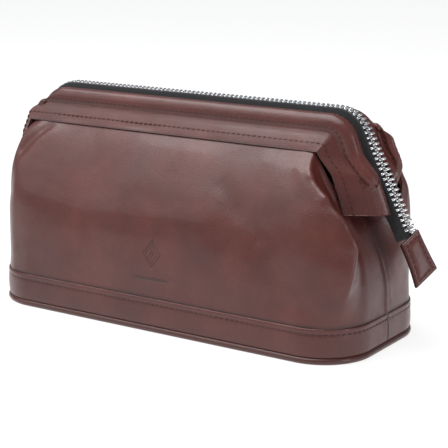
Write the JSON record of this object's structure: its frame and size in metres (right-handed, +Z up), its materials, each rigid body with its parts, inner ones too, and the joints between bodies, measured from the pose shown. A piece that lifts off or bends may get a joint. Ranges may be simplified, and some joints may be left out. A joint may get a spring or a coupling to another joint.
{
  "type": "framed wash bag",
  "caption": "Leather wash bag on a flat rounded base, with two hinged steel mouth frames, a zip over the top with a slider and puller, and a leather tab at each end of the zip.",
  "frame": {"origin": "centre of the base, on the surface that the bag stands on", "axes": "+X runs along the bag towards the zip's long right end, +Y goes to the rear, +Z goes up"},
  "size_m": [0.3019, 0.106, 0.1371],
  "materials": {
    "leather": "glossy",
    "piping": "glossy",
    "lining": "matte",
    "board": "matte",
    "core": "matte",
    "tape": "matte",
    "zip_metal": "bright",
    "steel": "satin"
  },
  "bodies": {
    "body": {"bottom_panel": "leather", "base_board": "board", "bottom_lining": "lining", "bottom_piping": "piping", "piping_core": "core", "front_base_band": "leather", "rear_base_band": "leather", "front_panel": "leather", "rear_panel": "leather", "front_panel_fold": "leather", "rear_panel_fold": "leather", "front_lining": "lining", "rear_lining": "lining", "front_lining_fold": "lining", "rear_lining_fold": "lining", "inner_pocket": "lining", "left_seam_tape": "lining", "right_seam_tape": "lining", "left_hinge_rivet": "steel", "right_hinge_rivet": "steel", "front_band_ends": "leather", "rear_band_ends": "leather", "left_tail_tape": "tape", "right_tail_tape": "tape", "left_tail_teeth": "zip_metal", "right_tail_teeth": "zip_metal", "top_stops": "zip_metal", "bottom_stop": "zip_metal", "left_zip_tab": "leather", "right_zip_tab": "leather"},
    "front_frame": {"front_frame_bar": "steel", "front_mouth_band": "leather", "front_facing": "leather", "front_zip_tape": "tape", "front_zip_teeth": "zip_metal"},
    "rear_frame": {"rear_frame_bar": "steel", "rear_mouth_band": "leather", "rear_facing": "leather", "rear_zip_tape": "tape", "rear_zip_teeth": "zip_metal"},
    "slider": {"slider_body": "zip_metal", "slider_bridge": "zip_metal"},
    "puller": {"puller": "zip_metal"}
  },
  "joints": [
    {"name": "front_frame_hinge", "type": "hinge", "parent": "body", "child": "front_frame", "pos_m": [0, 0, 0.091], "axis": [1, 0, 0], "range_deg": [0, 70], "deforming": ["front_panel_fold", "front_lining_fold", "front_band_ends", "left_tail_tape", "right_tail_tape"]},
    {"name": "rear_frame_hinge", "type": "hinge", "parent": "body", "child": "rear_frame", "pos_m": [0, 0, 0.091], "axis": [-1, 0, 0], "range_deg": [0, 70], "deforming": ["rear_panel_fold", "rear_lining_fold", "rear_band_ends"]},
    {"name": "zip_slide", "type": "slide", "parent": "body", "child": "slider", "axis": [0.4617, 0, 0.887], "range_m": [0, 0.022], "deforming": ["left_tail_teeth", "right_tail_teeth"]},
    {"name": "puller_hinge", "type": "hinge", "parent": "slider", "child": "puller", "pos_m": [-0.13324, 0, 0.0943], "axis": [0, 1, 0], "range_deg": [0, 150]}
  ]
}
